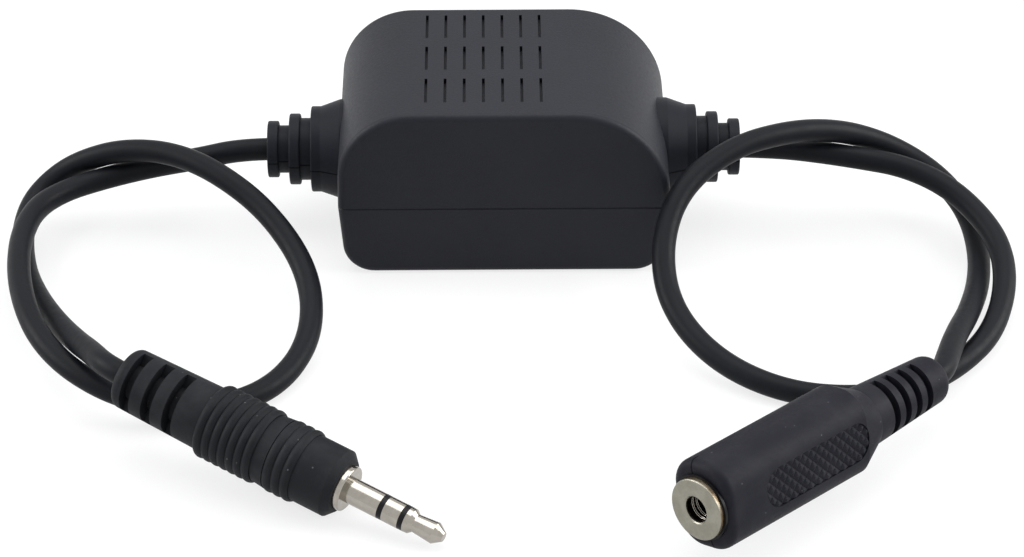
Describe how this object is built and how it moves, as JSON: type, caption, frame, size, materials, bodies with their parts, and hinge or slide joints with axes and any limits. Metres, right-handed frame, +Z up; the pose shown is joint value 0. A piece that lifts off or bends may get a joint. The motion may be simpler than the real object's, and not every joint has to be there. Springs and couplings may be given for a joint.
{
  "type": "ground loop isolator",
  "caption": "Small vented housing that isolates an audio line, with a corded stereo plug at one end and a corded stereo jack at the other.",
  "frame": {"origin": "middle of the housing's underside, on the surface that it stands on", "axes": "+Z up, +X towards the end that the jack's cord leaves from, -Y towards the front, where the plug and the jack lie"},
  "size_m": [0.1434, 0.102, 0.0262],
  "materials": {
    "housing": "fine spark texture",
    "relief": "matte",
    "overmould": "matte",
    "cord": "satin",
    "plating": "polished nickel",
    "ferrule": "satin nickel",
    "insulator": "gloss",
    "board": "solder mask",
    "core_steel": "laminated",
    "bobbin": "moulded",
    "winding": "enamelled copper",
    "pins": "tinned",
    "solder": "bright",
    "red_wire": "gloss",
    "white_wire": "gloss",
    "bare_wire": "twisted copper"
  },
  "bodies": {
    "root": {"upper_shell": "housing", "lower_shell": "housing", "input_relief": "relief", "output_relief": "relief", "circuit_board": "board", "left_core": "core_steel", "right_core": "core_steel", "left_bobbin": "bobbin", "right_bobbin": "bobbin", "left_primary_winding": "winding", "right_primary_winding": "winding", "left_secondary_winding": "winding", "right_secondary_winding": "winding", "left_pins": "pins", "right_pins": "pins", "left_solder": "solder", "right_solder": "solder", "input_red_wire": "red_wire", "input_white_wire": "white_wire", "input_ground_wire": "bare_wire", "output_red_wire": "red_wire", "output_white_wire": "white_wire", "output_ground_wire": "bare_wire", "plug_overmould": "overmould", "plug_sleeve": "plating", "plug_rear_insulator": "insulator", "plug_ring": "plating", "plug_front_insulator": "insulator", "plug_tip": "plating", "jack_overmould": "overmould", "jack_barrel": "insulator", "jack_ferrule": "ferrule", "jack_ring_contact": "plating", "jack_tip_contact": "plating", "input_cord": "cord", "output_cord": "cord"}
  },
  "joints": []
}
